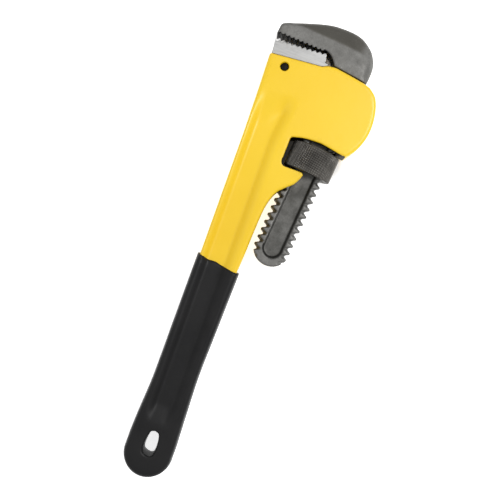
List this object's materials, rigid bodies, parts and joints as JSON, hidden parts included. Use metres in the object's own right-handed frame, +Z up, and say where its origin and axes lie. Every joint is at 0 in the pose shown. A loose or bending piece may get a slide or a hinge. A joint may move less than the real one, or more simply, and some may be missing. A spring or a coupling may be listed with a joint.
{
  "type": "pipe wrench",
  "caption": "Straight pipe wrench with a toothed hook jaw on a threaded shank, a knurled adjusting nut, a fixed toothed heel jaw and a dipped grip with a hang hole.",
  "frame": {"origin": "centre of the bounding box in X and Y, on the plane that the nut's lowest line touches", "axes": "+Y along the handle from the grip to the jaws, +X from the handle's back towards the open side of the nut's window, +Z up, square to the wrench's flat side"},
  "size_m": [0.0794, 0.3132, 0.0312],
  "materials": {
    "yellow_paint": "glossy yellow paint on an iron casting",
    "black_vinyl": "dipped black vinyl, satin",
    "bright_steel": "ground light grey steel",
    "forged_steel": "forged and darkened steel, satin",
    "blackened_steel": "blackened steel",
    "spring_steel": "oiled spring steel"
  },
  "bodies": {
    "handle": {"handle_casting": "yellow_paint", "grip_coating": "black_vinyl", "heel_jaw": "bright_steel", "heel_jaw_pin": "blackened_steel", "spring_rivet": "spring_steel", "coil_spring": "spring_steel"},
    "leaf_spring": {"leaf_spring": "spring_steel"},
    "adjusting_nut": {"adjusting_nut": "blackened_steel"},
    "hook_jaw": {"hook_jaw": "forged_steel"}
  },
  "joints": [
    {"name": "jaw_rock", "type": "hinge", "parent": "handle", "child": "leaf_spring", "pos_m": [0.02765, 0.12613, 0.0156], "axis": [0, 0, 1], "range_deg": [-1.2, 0], "stiffness_Nm_per_rad": 20, "springref_deg": 2.98, "deforming": ["leaf_spring", "coil_spring"]},
    {"name": "nut_turn", "type": "hinge", "parent": "leaf_spring", "child": "adjusting_nut", "pos_m": [0.01145, 0.07038, 0.0156], "axis": [-0.0819, -0.9966, 0], "range_deg": [-42, 3878]},
    {"name": "jaw_slide", "type": "slide", "parent": "leaf_spring", "child": "hook_jaw", "axis": [0.0819, 0.9966, 0], "range_m": [-0.0006, 0.056]}
  ],
  "couplings": [
    {"joint": "nut_turn", "follows": "jaw_slide", "rad_per_m": 1208.3}
  ]
}
